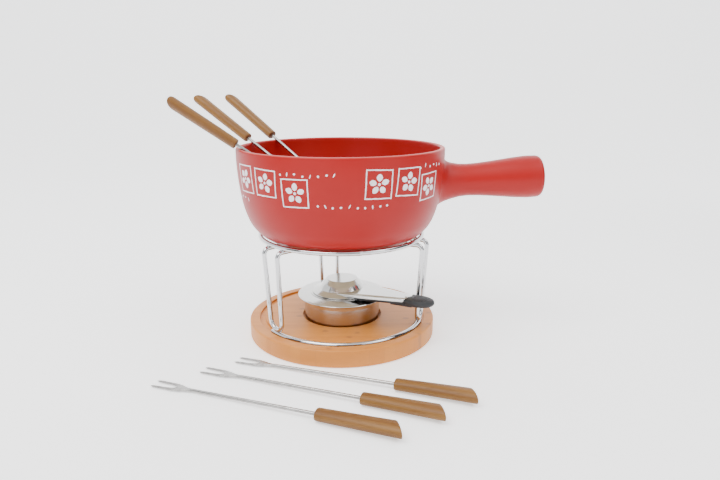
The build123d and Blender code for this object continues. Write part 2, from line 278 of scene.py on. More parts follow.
def bent(points, bends, steps=14):
    """A wire's centre line in millimetres: straight runs joined by arcs of the given radii."""
    spots = [Vector(point) for point in points]
    line = [spots[0]]
    for index, radius in enumerate(bends, 1):
        here = spots[index]
        before = (spots[index - 1] - here).normalized()
        after = (spots[index + 1] - here).normalized()
        half = before.angle(after) / 2
        middle = here + (before + after).normalized() * radius / math.sin(half)
        reach = radius / math.tan(half)
        first = here + before * reach - middle
        last = here + after * reach - middle
        span = first.angle(last)
        for step in range(steps + 1):
            share = step / steps
            arm = first * math.sin((1 - share) * span) + last * math.sin(share * span)
            line.append(middle + arm / math.sin(span))
    line.append(spots[-1])
    return line


def evenly(line, gap):
    """The same line with a point at least every gap."""
    dense = [line[0]]
    for start, end in zip(line, line[1:]):
        count = max(1, round((end - start).length / gap))
        dense += [start.lerp(end, step / count) for step in range(1, count + 1)]
    return dense


def wire(name, line, radius, sides=24, cap=0.8):
    """A round wire along a line in millimetres, with both ends rounded off."""
    ahead = [(b - a).normalized() for a, b in zip(line, line[1:])]
    ahead = [ahead[0]] + [(a + b).normalized() for a, b in zip(ahead, ahead[1:])] + [ahead[-1]]
    head = wire_end(line[0], ahead[0], radius, cap)
    tail = wire_end(line[-1], -ahead[-1], radius, cap)
    stations = [(spot, ahead[0], size) for spot, size in head]
    stations += [(spot, way, radius) for spot, way in zip(line[1:-1], ahead[1:-1])]
    stations += [(spot, ahead[-1], size) for spot, size in reversed(tail)]
    side = ahead[0].orthogonal().normalized()
    points, faces = [], []
    for spot, way, size in stations:
        side = (side - way * side.dot(way)).normalized()
        up = way.cross(side)
        for index in range(sides):
            angle = 2 * math.pi * index / sides
            points.append((spot + (side * math.cos(angle) + up * math.sin(angle)) * size) * MM)
    return solid(name, points, tube_faces(len(stations), sides))


def wire_end(spot, inwards, radius, cap):
    """The centres and radii of the rings that round off one end of a wire, from its tip."""
    return [(spot + inwards * cap * (1 - math.sin(turn)), radius - cap * (1 - math.cos(turn)))
            for turn in CAP_TURNS]


def tube_faces(count, sides):
    """The faces of a tube of rings, with an end face at each end."""
    faces = []
    for ring in range(count - 1):
        for side in range(sides):
            after = (side + 1) % sides
            low, high = ring * sides, (ring + 1) * sides
            faces.append([low + side, low + after, high + after, high + side])
    faces.append(list(range(sides))[::-1])
    faces.append([(count - 1) * sides + side for side in range(sides)])
    return faces


def swell(mesh, spot, reach, grow):
    """Raise the surface round a spot in millimetres, as weld metal does."""
    centre = Vector(spot) * MM
    moves = []
    for point in mesh.vertices:
        share = (point.co - centre).length / (reach * MM)
        if share < 1:
            moves.append((point, point.normal * grow * MM * (1 - share ** 2) ** 2))
    for point, move in moves:
        point.co += move


def round_z(azimuth, spot):
    """A point in millimetres turned about Z."""
    return Matrix.Rotation(math.radians(azimuth), 3, "Z") @ Vector(spot)


def plated_ring(name, radius, thick, height):
    """One closed ring of wire; its two ends are butt welded."""
    line = []
    for step in range(24):
        angle = 2 * math.pi * step / 24
        line.append((radius + thick * math.cos(angle), height + thick * math.sin(angle)))
    return turned(name, line, 360, closed=True)


def leg_line(foot):
    """The centre line of one leg whose foot lies at the given height."""
    half = LEG_TOP + [(*LEG_FOOT, foot)]
    return half + [(x, -y, z) for x, y, z in reversed(half)]


def front_line():
    """The centre line of the curved wire under the two front feet."""
    radius, height, start, end = FRONT_WIRE
    return [round_z(start + (end - start) * step / 90, (radius, 0, height)) for step in range(91)]


def chrome_finish():
    """Bright plating with a faint waviness, and a greyer tone at random dull spots."""
    chrome = Finish("stand_wire", {"Metallic": 1.0})
    wave = chrome.noise(55, 2.0)
    dull = chrome.noise(240, 3.0).between(0.55, 0.8)
    chrome.drive("Base Color", chrome.blend(dull * 0.5, (0.58, 0.58, 0.59, 1), (0.40, 0.40, 0.41, 1)))
    chrome.drive("Roughness", 0.05 + dull * 0.10 + wave * 0.03)
    chrome.relief(wave, 0.0012, 0.12)
    return chrome


chrome = chrome_finish()
front_wire = wire("bottom_ring_wire", front_line(), LEG_WIRE)
top_ring = plated_ring("top_ring_wire", *TOP_RING)
swell(top_ring, round_z(BUTT_WELD_AZIMUTH, (TOP_RING[0], 0, TOP_RING[2])), *BUTT_SWELL)
for number, (azimuth, foot) in enumerate(zip(LEG_AZIMUTHS, LEG_FEET), 1):
    line = [round_z(azimuth, spot) for spot in bent(leg_line(foot), LEG_BENDS)]
    leg = wire(f"stand_leg_{number}_wire", evenly(line, 2.0), LEG_WIRE)
    for side in (-1, 1):
        weld = round_z(azimuth, (TOP_WELD[0], TOP_WELD[1] * side, TOP_WELD[2]))
        swell(leg, weld, *TOP_SWELL)
        swell(top_ring, weld, *TOP_SWELL)
    if foot > FRONT_WIRE[1]:
        weld = round_z(azimuth, FOOT_WELD)
        swell(leg, weld, *FOOT_SWELL)
        swell(front_wire, weld, *FOOT_SWELL)
    fit(leg, chrome, "stand", [f"stand_leg_{number}"])
fit(front_wire, chrome, "stand", ["bottom_ring"])
fit(top_ring, chrome, "stand", ["top_ring"])


# -------- the pot
# The bowl and its hollow side handle are one piece of slip-cast earthenware, glazed satin red
# inside and out.  The foot is wiped bare before firing, so it shows the cream clay.
BASE = (81.0, 115.9)
BOWL_SIDE = [BASE, (104.4, 139.9), (110.4, 160.8), (115.0, 208.0)]
BOWL_ROOM = [(66.0, 121.9), (92.2, 135.7), (104.0, 163.0), (109.6, 208.0)]
RIM_Z = 216.7
RIM_LOW_Z = 208.5
RIM_ROUND = 2.5
FOOT_IN = 73.0
UNDERSIDE_Z = 117.4
HANDLE_FOOT = (111.0, 0.0, 176.5)
HANDLE_RISE = 2.7
HANDLE_LINE = [
    (20.3, 14), (18.6, 22), (18.0, 31), (18.4, 42), (19.4, 54), (20.9, 68), (22.6, 83), (23.7, 97),
]
HANDLE_NOSE = [(23.75, 100, 0), (23.2, 115, 8.5), (9.5, 115, 1.6), (9.5, 110, 0)]
HANDLE_ROOM = [
    (9.5, 114, 0), (9.5, 110, 3), (18.0, 98, 6), (17.4, 82, 20), (14.4, 52, 20), (12.6, 22, 6),
    (5.0, 13, 3), (0, 13, 0),
]
ROOT_R = 30.5
ROOT_SINK = 0.35
ROOT_SKIRT = 1.2
ROOT_PULL = (19, 15)
ROOT_BURIED = (12, 2.5)
AROUND_HANDLE = 128


def arc_run(points, tangent, steps=22):
    """Arcs through (radius, height) points, each one tangent to the one before it."""
    way = Vector(tangent).normalized()
    line = [Vector(points[0])]
    for start, end in zip(points, points[1:]):
        start, end = Vector(start), Vector(end)
        chord = end - start
        across = Vector((-way.y, way.x))
        radius = chord.length_squared / (2 * chord.dot(across))
        centre = start + across * radius
        turn = 2 * math.asin(chord.length / (2 * radius))
        for step in range(1, steps + 1):
            arm = Matrix.Rotation(turn * step / steps, 2) @ (start - centre)
            line.append(centre + arm)
        way = Matrix.Rotation(turn, 2) @ way
    return line


def mesh_with(mesh, other, operation):
    """The mesh joined with the other one, or with the other one cut out of it."""
    tools = []
    for shape in (mesh, other):
        tools.append(bpy.data.objects.new("tool", shape))
        bpy.context.scene.collection.objects.link(tools[-1])
    cut = tools[0].modifiers.new("cut", "BOOLEAN")
    cut.operation, cut.object, cut.solver = operation, tools[1], "EXACT"
    bpy.context.view_layer.update()
    graph = bpy.context.evaluated_depsgraph_get()
    made = bpy.data.meshes.new_from_object(tools[0].evaluated_get(graph))
    made.name = mesh.name
    for tool in tools:
        bpy.data.objects.remove(tool)
    made.shade_smooth()
    made.set_sharp_from_angle(angle=math.radians(35))
    return made


outer_side = arc_run(BOWL_SIDE, (1.0, 0.43))
inner_side = arc_run(BOWL_ROOM, (1.0, 0.0))
SIDE_Z = [spot.y for spot in outer_side]
SIDE_R = [spot.x for spot in outer_side]


def bowl_line():
    """The closed outline of the bowl: foot, outside, rounded rim, inside and floor."""
    edge = (FOOT_IN + 0.2, BASE[1], 0.5)
    foot = rounded([(0, UNDERSIDE_Z, 0), (FOOT_IN, UNDERSIDE_Z, 0.6), edge, (*BASE, 0)])
    outside = BOWL_SIDE[-1][0]
    inside = BOWL_ROOM[-1][0]
    rim = rounded([(outside, RIM_LOW_Z, 0), (outside, RIM_Z, RIM_ROUND),
                   (inside, RIM_Z, RIM_ROUND), (inside, RIM_LOW_Z, 0)], steps=9)
    return foot[:-1] + outer_side + rim + inner_side[::-1] + [Vector((0, inner_side[0].y))]


def bowl_point(azimuth, height, lift=0.0):
    """A point on the bowl's outside in millimetres, from its azimuth and height."""
    radius = float(np.interp(height, SIDE_Z, SIDE_R))
    slope = (np.interp(height + 0.5, SIDE_Z, SIDE_R) - np.interp(height - 0.5, SIDE_Z, SIDE_R))
    out = Vector((1.0, 0.0, -float(slope))).normalized()
    spot = Vector((radius, 0, height)) + out * lift
    return Matrix.Rotation(azimuth, 3, "Z") @ spot


def handle_mesh():
    """The hollow handle; its root flares out and lies against the bowl's side."""
    rise = math.radians(HANDLE_RISE)
    way = Vector((math.cos(rise), 0, math.sin(rise)))
    foot = Vector(HANDLE_FOOT)
    side = Vector((0, 1, 0))
    up = way.cross(side)
    outside = [Vector(spot) for spot in HANDLE_LINE] + rounded(HANDLE_NOSE, steps=8)
    profile = outside + rounded(HANDLE_ROOM)[1:-1]
    rings = []
    for index in range(AROUND_HANDLE):
        angle = 2 * math.pi * index / AROUND_HANDLE
        arm = side * math.cos(angle) + up * math.sin(angle)
        rest = [foot + arm * spot.x + way * spot.y for spot in profile]
        rings.append(root_line(foot, way, arm) + rest)
    count = len(rings[0])
    points = [rings[index][step] * MM for step in range(count) for index in range(AROUND_HANDLE)]
    return solid("handle", points, tube_faces(count, AROUND_HANDLE))


def root_line(foot, way, arm, steps=12):
    """One line of the flared root, from the bowl's side to the handle's neck."""
    reach = 0.0
    for _ in range(30):
        spot = foot + arm * ROOT_R + way * reach
        radius = float(np.interp(spot.z, SIDE_Z, SIDE_R))
        reach += (radius - math.hypot(spot.x, spot.y)) * 0.8
    azimuth = math.atan2(spot.y, spot.x)
    out = (bowl_point(azimuth, spot.z, 1.0) - bowl_point(azimuth, spot.z)).normalized()
    start = spot - out * ROOT_SINK
    end = foot + arm * HANDLE_LINE[0][0] + way * HANDLE_LINE[0][1]
    inwards = -(arm - out * arm.dot(out)).normalized() * ROOT_PULL[0]
    onwards = (way - arm * 0.25) * ROOT_PULL[1]
    buried = foot + arm * ROOT_BURIED[0] - way * ROOT_BURIED[1]
    line = [buried, start - out * ROOT_SKIRT]
    for step in range(steps):
        t = step / steps
        line.append(start * (2 * t ** 3 - 3 * t ** 2 + 1) + inwards * (t ** 3 - 2 * t ** 2 + t)
                    + end * (3 * t ** 2 - 2 * t ** 3) + onwards * (t ** 3 - t ** 2))
    return line


def glaze_finish():
    """Satin red glaze with a paler band painted along the top of the rim as a highlight, and bare cream
    clay underneath.
    """
    glaze = Finish("pot_glaze", {"Specular IOR Level": 0.22})
    height = glaze.along("Z")
    cloud = glaze.noise(26, 3.0)
    peel = glaze.noise(420, 2.0)
    speck = glaze.noise(900, 1.0).between(0.70, 0.78)
    bare = 1 - (height + (cloud - 0.5) * 0.0006).between(0.1174, 0.1180)
    # painted highlight: the top of the rim is mixed toward a paler pink
    thin_print_and_rim_highlight = height.between(0.2153, 0.2168)
    red = glaze.blend(cloud, (0.33, 0.0080, 0.0075, 1), (0.285, 0.0062, 0.0058, 1))
    red = glaze.blend(thin_print_and_rim_highlight * 0.35, red, (0.75, 0.12, 0.09, 1))
    red = glaze.blend(speck * 0.25, red, (0.26, 0.008, 0.008, 1))
    clay = glaze.blend(cloud, (0.62, 0.55, 0.40, 1), (0.50, 0.43, 0.30, 1))
    glaze.drive("Base Color", glaze.blend(bare, red, clay))
    glaze.drive("Roughness", 0.36 + cloud * 0.06 + bare * 0.45)
    glaze.relief(peel * (1 - bare) + cloud * 1.5, 0.00018, 0.22)
    return glaze


bowl = turned("pot_earthenware", bowl_line(), 288)
bowl = mesh_with(bowl, handle_mesh(), "UNION")
fit(bowl, glaze_finish(), "pot", ["pot"])


# -------- the print on the bowl
# Fired-on white print: groups of three hand-drawn square frames, each round a five-petalled
# blossom, with rows of small dots and dashes between the groups.  It goes all round the bowl
# except at the handle.
FRAME_SIZE = 27.5
LINE_W = 1.15
PRINT_LIFT = 0.16
FRAME_GROUPS = [
    [(-148.5, 189.7, 1.5), (-131.0, 188.9, -2.0), (-113.0, 181.5, 1.0)],
    [(-71.5, 190.5, -1.5), (-54.5, 190.4, -2.5), (-38.5, 183.1, 2.0)],
    [(34.0, 190.0, 2.0), (51.5, 189.5, -1.5), (69.5, 182.0, 1.5)],
    [(111.0, 190.5, -2.0), (128.0, 190.0, 1.5), (145.5, 182.5, -1.0)],
]
MARK_ROWS = [(-120.5, -92.0, 199.5), (-101.5, -65.5, 169.2), (-47.0, -26.0, 204.0), (62.0, 90.0, 200.0),
             (82.0, 118.0, 169.5), (139.0, 166.0, 200.0), (-176.0, -146.0, 168.0), (24.0, 48.0, 168.5)]
draw = random.Random(7)


class Print:
    """Thin patches of print laid on the bowl, gathered into one mesh."""

    def __init__(self):
        self.points = []
        self.faces = []

    def spot(self, azimuth, height, u, v, lift):
        """A point u to the right and v up from a place on the bowl, in millimetres."""
        level = height + v * 0.985
        radius = float(np.interp(level, SIDE_Z, SIDE_R))
        return bowl_point(math.radians(azimuth) + u / radius, level, lift) * MM

    def ribbon(self, azimuth, height, left, right):
        """A strip between two lines of (u, v) points, as a thin closed solid."""
        start = len(self.points)
        count = len(left)
        for lift in (PRINT_LIFT, -PRINT_LIFT):
            for line in (left, right):
                self.points += [self.spot(azimuth, height, u, v, lift) for u, v in line]
        a, b, c, d = (start + count * index for index in range(4))
        for step in range(count - 1):
            self.faces += [[a + step, a + step + 1, b + step + 1, b + step],
                           [c + step, d + step, d + step + 1, c + step + 1],
                           [a + step, c + step, c + step + 1, a + step + 1],
                           [b + step, b + step + 1, d + step + 1, d + step]]
        last = count - 1
        self.faces += [[a, b, d, c], [a + last, c + last, d + last, b + last]]

    def stroke(self, azimuth, height, start, end, width, steps=9):
        """A straight brush stroke whose edges waver a little."""
        way = (Vector(end) - Vector(start))
        across = Vector((-way.y, way.x)).normalized()
        left, right = [], []
        for step in range(steps + 1):
            share = step / steps
            middle = Vector(start) + way * share + across * draw.uniform(-0.12, 0.12)
            half = width / 2 * draw.uniform(0.82, 1.15) * (0.7 if step in (0, steps) else 1)
            left.append(middle + across * half)
            right.append(middle - across * half)
        self.ribbon(azimuth, height, left, right)

    def leaf(self, azimuth, height, centre, angle, length, width, steps=12):
        """A rounded leaf or dot, as a strip from one end to the other."""
        way = Vector((math.cos(angle), math.sin(angle)))
        across = Vector((-way.y, way.x))
        left, right = [], []
        for step in range(steps + 1):
            share = step / steps
            half = width / 2 * math.sin(math.pi * (0.03 + 0.94 * share)) ** 0.7 * draw.uniform(0.93, 1.05)
            middle = Vector(centre) + way * length * (share - 0.5)
            left.append(middle + across * half)
            right.append(middle - across * half)
        self.ribbon(azimuth, height, left, right)


def framed_blossom(ink, azimuth, height, tilt):
    """One hand-drawn square frame round a blossom of five petals and a round eye."""
    turn = Matrix.Rotation(math.radians(tilt), 2)
    half = FRAME_SIZE / 2
    corners = [turn @ Vector((x * half + draw.uniform(-0.7, 0.7), y * half + draw.uniform(-0.7, 0.7)))
               for x, y in ((-1, -1), (1, -1), (1, 1), (-1, 1))]
    for start, end in zip(corners, corners[1:] + corners[:1]):
        over = (end - start).normalized() * draw.uniform(0.3, 0.9)
        ink.stroke(azimuth, height, start - over, end + over, LINE_W, steps=12)
    first = draw.uniform(0, 1.2)
    for petal in range(5):
        angle = first + petal * 2 * math.pi / 5 + draw.uniform(-0.07, 0.07)
        centre = Vector((math.cos(angle), math.sin(angle))) * 6.6
        ink.leaf(azimuth, height, centre, angle, draw.uniform(6.8, 7.6), draw.uniform(5.6, 6.3))
    ink.leaf(azimuth, height, (0, 0), 0.3, 3.0, 3.0)


def mark_row(ink, start, end, height):
    """A row of dots and short dashes with a slight wander."""
    azimuth = start
    count = 0
    while azimuth < end:
        rise = draw.uniform(-1.2, 1.2)
        if count % 3 == 1:
            slant = draw.uniform(-0.5, 0.5)
            ink.leaf(azimuth, height + rise, (0, 0), 1.57 + slant, 4.2, 1.2, steps=8)
        else:
            ink.leaf(azimuth, height + rise, (0, 0), draw.uniform(0, 3), 2.4, 2.1, steps=8)
        azimuth += draw.uniform(3.3, 4.4)
        count += 1


def print_finish():
    """Slightly uneven white enamel with a cool cast."""
    enamel = Finish("pot_print", {"Specular IOR Level": 0.4})
    cover = enamel.noise(300, 3.0)
    thin_print_and_rim_highlight = cover.between(0.35, 0.75)
    enamel.drive("Base Color", enamel.blend(thin_print_and_rim_highlight, (0.86, 0.84, 0.88, 1), (0.74, 0.68, 0.72, 1)))
    enamel.drive("Roughness", 0.42 + cover * 0.15)
    enamel.relief(cover, 0.0001, 0.2)
    return enamel


ink = Print()
for group in FRAME_GROUPS:
    for azimuth, height, tilt in group:
        framed_blossom(ink, azimuth, height, tilt)
for start, end, height in MARK_ROWS:
    mark_row(ink, start, end, height)
fit(solid("pot_print", ink.points, ink.faces), print_finish(), "pot")


# -------- the burner
# A spirit burner of stainless sheet: a turned satin cup that holds soaked wadding, and a
# polished cover that is pushed over it, with woven gauze in the opening, a ring of air holes,
# and a flat regulator ring that turns on top and opens or shuts them.
CUP_LINE = [
    (0, 15.7, 0), (43.8, 15.7, 2.4), (43.8, 44.0, 0.25), (43.0, 44.0, 0.25), (43.0, 16.5, 2.0),
    (0, 16.5, 0),
]
COVER_LINE = [
    (43.9, 37.4, 0.3), (44.7, 37.4, 0.3), (44.7, 41.1, 2.0), (46.2, 42.8, 1.2), (49.8, 43.5, 1.2),
    (51.0, 43.9, 0.5), (51.4, 44.5, 0.6), (50.9, 45.2, 0.7), (49.4, 45.5, 1.0), (37.8, 46.9, 1.6),
    (24.6, 46.9, 1.4), (23.8, 49.3, 0.6), (22.9, 49.9, 0.4), (22.0, 49.2, 0.3), (22.0, 46.1, 0.3),
    (36.8, 46.1, 1.6), (44.6, 45.2, 0.6), (48.2, 44.7, 0.5), (45.3, 43.6, 0.8), (43.9, 41.6, 1.0),
]
REGULATOR_LINE = [(24.7, 46.95, 0.1), (36.8, 46.95, 0.2), (36.8, 47.6, 0.25), (24.7, 47.6, 0.1)]
AIR_HOLES = 6
AIR_RING_R = 30.5
AIR_HOLE_R = 2.4
HOLE_OFFSET = 6.0
COVER_PUNCH = (45.0, 48.0)
REGULATOR_PUNCH = (46.0, 49.0)
WADDING = (42.2, 16.7, 36.8)
GAUZE_R = 22.0
GAUZE_Z = 46.9
GAUZE_PITCH = 1.25
GAUZE_WIRE = 0.19
TAB_AZIMUTH = -57.0
TAB_SIZE = (35.9, 44.7, 4.4)
TAB_CORNER = 2.4
TAB_LEVELS = [(0.5, 47.6), (0.1, 47.6), (0.0, 47.8), (0.0, 48.8), (0.25, 49.4), (0.8, 49.7), (1.6, 49.7)]


def with_air_holes(mesh, offset, low, high):
    """The mesh with its ring of air holes punched through."""
    for index in range(AIR_HOLES):
        punch = turned("punch", [(0, low), (AIR_HOLE_R, low), (AIR_HOLE_R, high), (0, high)], 40)
        azimuth = math.radians(index * 360 / AIR_HOLES + offset)
        punch.transform(Matrix.Translation(round_z(math.degrees(azimuth), (AIR_RING_R, 0, 0)) * MM))
        mesh = mesh_with(mesh, punch, "DIFFERENCE")
    return mesh


def sheet_steel(name, bright, rough, lines):
    """Stainless sheet: spun or polished rings about Z, light wipe marks and a few stains."""
    steel = Finish(name, {"Metallic": 1.0})
    radius = steel.node("VectorMath", {"operation": "LENGTH"}, {0: steel.spot((1, 1, 0))}, "Value")
    ring = steel.node("CombineXYZ", {}, {0: radius, 1: steel.along("Z"), 2: 0.0})
    turn = steel.node("TexNoise", {}, {"Vector": ring, "Scale": 2600.0, "Detail": 2.0}, "Fac")
    cloudy = {"Vector": steel.spot(), "Scale": 70.0, "Detail": 3.0, "Distortion": 1.2}
    smear = steel.node("TexNoise", {}, cloudy, "Fac")
    stain = smear.between(0.55, 0.9)
    dull = tuple(part * 0.72 for part in bright[:3]) + (1,)
    steel.drive("Base Color", steel.blend(stain * 0.3 + turn * lines * 0.4, bright, dull))
    steel.drive("Roughness", rough + stain * 0.08 + turn * lines * 0.12)
    steel.relief(turn, 0.00006, lines)
    return steel


def wadding_mesh():
    """A round pad of loose fibre with an uneven top."""
    radius, low, high = WADDING
    line = rounded([(0, low, 0), (radius, low, 3), (radius, high, 5), (0, high, 0)], steps=8)
    top = [Vector((radius * (1 - step / 30), high)) for step in range(5, 30)]
    pad = turned("fuel_wadding_pad", line[:-1] + top + line[-1:], 144)
    tuft = random.Random(3)
    waves = [(tuft.uniform(80, 420), tuft.uniform(0, 6.28), tuft.uniform(0, 6.28)) for _ in range(14)]
    for point in pad.vertices:
        if point.co.z > (high - 4) * MM:
            x, y = point.co.xy
            spread = sum(math.sin(rate * (x * math.cos(turn) + y * math.sin(turn)) + phase)
                         for rate, turn, phase in waves)
            point.co.z -= 0.0004 + 0.00022 * abs(spread)
    return pad


def wadding_finish():
    fibre = Finish("wadding", {"Sheen Weight": 0.4, "Sheen Roughness": 0.5})
    strand = fibre.noise(1500, 4.0)
    damp = fibre.noise(60, 2.0)
    fibre.drive("Base Color", fibre.blend(damp * 0.8, (0.80, 0.77, 0.70, 1), (0.62, 0.57, 0.48, 1)))
    fibre.drive("Roughness", 0.85 + strand * 0.15)
    fibre.relief(strand, 0.0006, 0.8)
    return fibre


def gauze_mesh():
    """Plain-woven fine wire, cut round to the size of the opening."""
    points, faces = [], []
    count = int(GAUZE_R / GAUZE_PITCH)
    for turned_over in (False, True):
        for row in range(-count, count + 1):
            offset = row * GAUZE_PITCH
            half = math.sqrt(GAUZE_R ** 2 - offset ** 2)
            steps = max(4, int(half * 2 / (GAUZE_PITCH / 4)))
            first = len(points)
            phase = math.pi * (row + (1 if turned_over else 0))
            for step in range(steps + 1):
                run = -half + 2 * half * step / steps
                rise = math.cos(math.pi * run / GAUZE_PITCH + phase) * GAUZE_WIRE * 1.05
                for side in range(5):
                    angle = 2 * math.pi * side / 5
                    across = offset + GAUZE_WIRE * math.cos(angle)
                    up = GAUZE_Z + rise + GAUZE_WIRE * math.sin(angle)
                    spot = (across, run, up) if turned_over else (run, across, up)
                    points.append(Vector(spot) * MM)
            tube = [[first + corner for corner in face] for face in tube_faces(steps + 1, 5)]
            faces += [face[::-1] for face in tube] if turned_over else tube
    return solid("wick_mesh_gauze", points, faces, edge=70)


def plate(name, outline, levels):
    """A plate from rings: outline(inset) gives a ring of points, levels are (inset, height)."""
    rings = [[(spot[0], spot[1], height) for spot in outline(inset)] for inset, height in levels]
    sides = len(rings[0])
    points = [Vector(spot) * MM for ring in rings for spot in ring]
    return solid(name, points, tube_faces(len(rings), sides))


def oblong(near, far, half, radius):
    """The plan of a rounded oblong along X, as points."""
    corners = [(near, -half, radius), (far, -half, radius), (far, half, radius), (near, half, radius)]
    return rounded(corners, closed=True, steps=6)


def tab_outline(inset):
    """The tab's plan: a rounded oblong beside the snuffer's brim."""
    near, far, half = TAB_SIZE
    ring = oblong(near + inset, far - inset, half - inset, TAB_CORNER)
    return [round_z(TAB_AZIMUTH, (spot.x, spot.y, 0)).xy for spot in ring]


def black_finish():
    """Black heat-proof plastic with a fine moulded texture and a little wear."""
    plastic = Finish("grip_plastic", {"Specular IOR Level": 0.45})
    grain = plastic.noise(1400, 2.0)
    wear = plastic.noise(90, 3.0).between(0.5, 0.8)
    colour = plastic.blend(wear * 0.5, (0.016, 0.017, 0.019, 1), (0.045, 0.045, 0.047, 1))
    plastic.drive("Base Color", colour)
    plastic.drive("Roughness", 0.42 + grain * 0.12 + wear * 0.1)
    plastic.relief(grain, 0.00012, 0.3)
    return plastic


satin = sheet_steel("burner_cup_steel", (0.50, 0.455, 0.42, 1), 0.17, 0.5)
polished = sheet_steel("burner_steel", (0.60, 0.59, 0.575, 1), 0.12, 0.12)
gauze_steel = sheet_steel("gauze", (0.50, 0.49, 0.47, 1), 0.35, 0.3)
black = black_finish()
cup = turned("burner_cup_spun", rounded(CUP_LINE), 224)
fit(cup, satin, "burner", ["burner_cup"])
fit(wadding_mesh(), wadding_finish(), "burner", ["fuel_wadding"])
cover = turned("burner_cover_stamped", rounded(COVER_LINE, closed=True), 224, closed=True)
cover = with_air_holes(cover, 0.0, *COVER_PUNCH)
fit(cover, polished, "burner_top", ["burner_cover"])
fit(gauze_mesh(), gauze_steel, "burner_top", ["wick_mesh"])
regulator = turned("regulator_ring_plate", rounded(REGULATOR_LINE, closed=True, steps=3), 160, closed=True)
regulator = with_air_holes(regulator, HOLE_OFFSET, *REGULATOR_PUNCH)
fit(regulator, polished, "regulator", ["regulator_ring"])
fit(plate("regulator_tab", tab_outline, TAB_LEVELS), black, "regulator", ["regulator_knob"])


# -------- the snuffer
# The lid that puts the flame out: a flat-topped dome, its brim and a teardrop tongue, stamped
# in one piece of polished steel.  A black moulded grip is riveted under the tongue.
DOME_LINE = [
    (0, 62.2, 0), (17.0, 62.2, 0.8), (21.9, 57.6, 9), (25.9, 51.4, 1.0), (33.9, 48.3, 0.2),
    (34.0, 47.9, 0.2), (34.7, 47.9, 0.3), (34.7, 48.9, 0.5), (34.1, 49.0, 0.4), (26.7, 52.1, 1.2),
    (22.6, 58.2, 9), (18.0, 63.0, 1.3), (0, 63.0, 0),
]
TONGUE_AZIMUTH = -36.0
TONGUE_TILT = 3.2
TONGUE_Z = 51.9
DROP = (26.8, 10.5, 84.0)
LIP = -3.4
TONGUE_LEVELS = [(1.0, -0.95), (0.95, LIP), (0.1, LIP), (0.0, LIP + 0.1), (0.0, -0.7), (0.1, -0.3),
                 (0.35, -0.06), (0.8, 0.0), (2.2, 0.0), (3.0, 0.35), (4.2, 0.45)]
LIP_GAP = 0.02
GRIP_ARM = [(0.9, -5.9), (0.3, -5.75), (0.05, -5.3), (0.05, LIP - LIP_GAP), (0.95, LIP - LIP_GAP),
            (0.95, -1.0), (1.3, -0.95)]
HEEL = (71.0, 100.0, 10.6)
HEEL_CORNER = 3.0
HEEL_LEVELS = [(1.3, -8.0), (0.4, -7.7), (0.0, -7.0), (0.0, -5.0), (0.3, -4.8)]
PADDLE = (80.0, 121.0, 11.5, 5.2, -3.2)
RIBS = (100.5, 2.9, 6, 0.55)
RIVET_S = 89.5
RIVET_LINE = [(0, -5.7, 0), (3.2, -5.7, 0.8), (3.2, -4.7, 0.1), (2.0, -4.7, 0.1), (2.0, 0.0, 0.1),
              (3.4, 0.0, 0.1), (3.4, 1.3, 1.1), (0, 1.4, 0)]
LID_ROOM = (27.1, 44.0, 20.3, 61.6)
BRIM_ROOM = (27.6, 40.0, 27.6, 70.0)
TAB_ROOM = (46.5, 40.0, 46.5, 50.15)


def drop_outline(inset):
    """The teardrop hull of two circles along X, drawn smaller by the inset."""
    wide, tip, length = DROP
    wide, tip = wide - inset, tip - inset
    lean = math.acos((wide - tip) / length)
    ring = []
    for step in range(49):
        angle = lean + (2 * math.pi - 2 * lean) * step / 48
        ring.append((wide * math.cos(angle), wide * math.sin(angle)))
    for step in range(25):
        angle = -lean + 2 * lean * step / 24
        ring.append((length + tip * math.cos(angle), tip * math.sin(angle)))
    return ring


def heel_outline(inset):
    """The plan of the thick heel where the grip's strip meets its paddle."""
    near, far, half = HEEL
    return oblong(near + inset, far - inset, half - inset, HEEL_CORNER)


def paddle_mesh():
    """The oval paddle as sections across it, with ribs pressed into its top."""
    start, end, half_width, half_height, middle_z = PADDLE
    first_rib, pitch, ribs, depth = RIBS
    stations, sides = 150, 40
    points = []
    for station in range(stations + 1):
        t = -math.cos(math.pi * station / stations) * 0.998
        along = (start + end) / 2 + (end - start) / 2 * t
        width = half_width * (1 - abs(t) ** 2.1) ** 0.5
        height = half_height * (1 - abs(t) ** 4) ** 0.5
        nearest = min(abs(along - first_rib - pitch * rib) for rib in range(ribs))
        groove = max(0.0, 1 - (nearest / 0.95) ** 2) ** 2 * depth
        for side in range(sides):
            angle = 2 * math.pi * side / sides
            across = width * abs(math.cos(angle)) ** 0.72 * math.copysign(1, math.cos(angle))
            up = height * abs(math.sin(angle)) ** 0.72 * math.copysign(1, math.sin(angle))
            if up > 0.8:
                up -= groove * min(1.0, (up - 0.8) / 0.8)
            points.append(Vector((along, across, middle_z + up)) * MM)
    return solid("snuffer_grip_moulding", points, tube_faces(stations + 1, sides), edge=50)


def tongue_place():
    """Where the sloping tongue lies, with X along it and its top at height 0."""
    turn = Matrix.Rotation(math.radians(TONGUE_AZIMUTH), 4, "Z")
    lean = Matrix.Rotation(math.radians(-TONGUE_TILT), 4, "Y")
    return turn @ Matrix.Translation((0, 0, TONGUE_Z * MM)) @ lean


def post(radius_low, low, radius_high, high):
    """A plain tapered tool that cuts room out of another mesh."""
    return turned("post", [(0, low), (radius_low, low), (radius_high, high), (0, high)], 128)


tongue = plate("tongue", drop_outline, TONGUE_LEVELS)
tongue.transform(tongue_place())
tongue = mesh_with(tongue, post(*LID_ROOM), "DIFFERENCE")
dome = turned("snuffer_lid_stamped", rounded(DOME_LINE, steps=7), 224)
lid = mesh_with(dome, tongue, "UNION")
fit(lid, polished, "snuffer", ["snuffer_lid", "snuffer_tongue"])

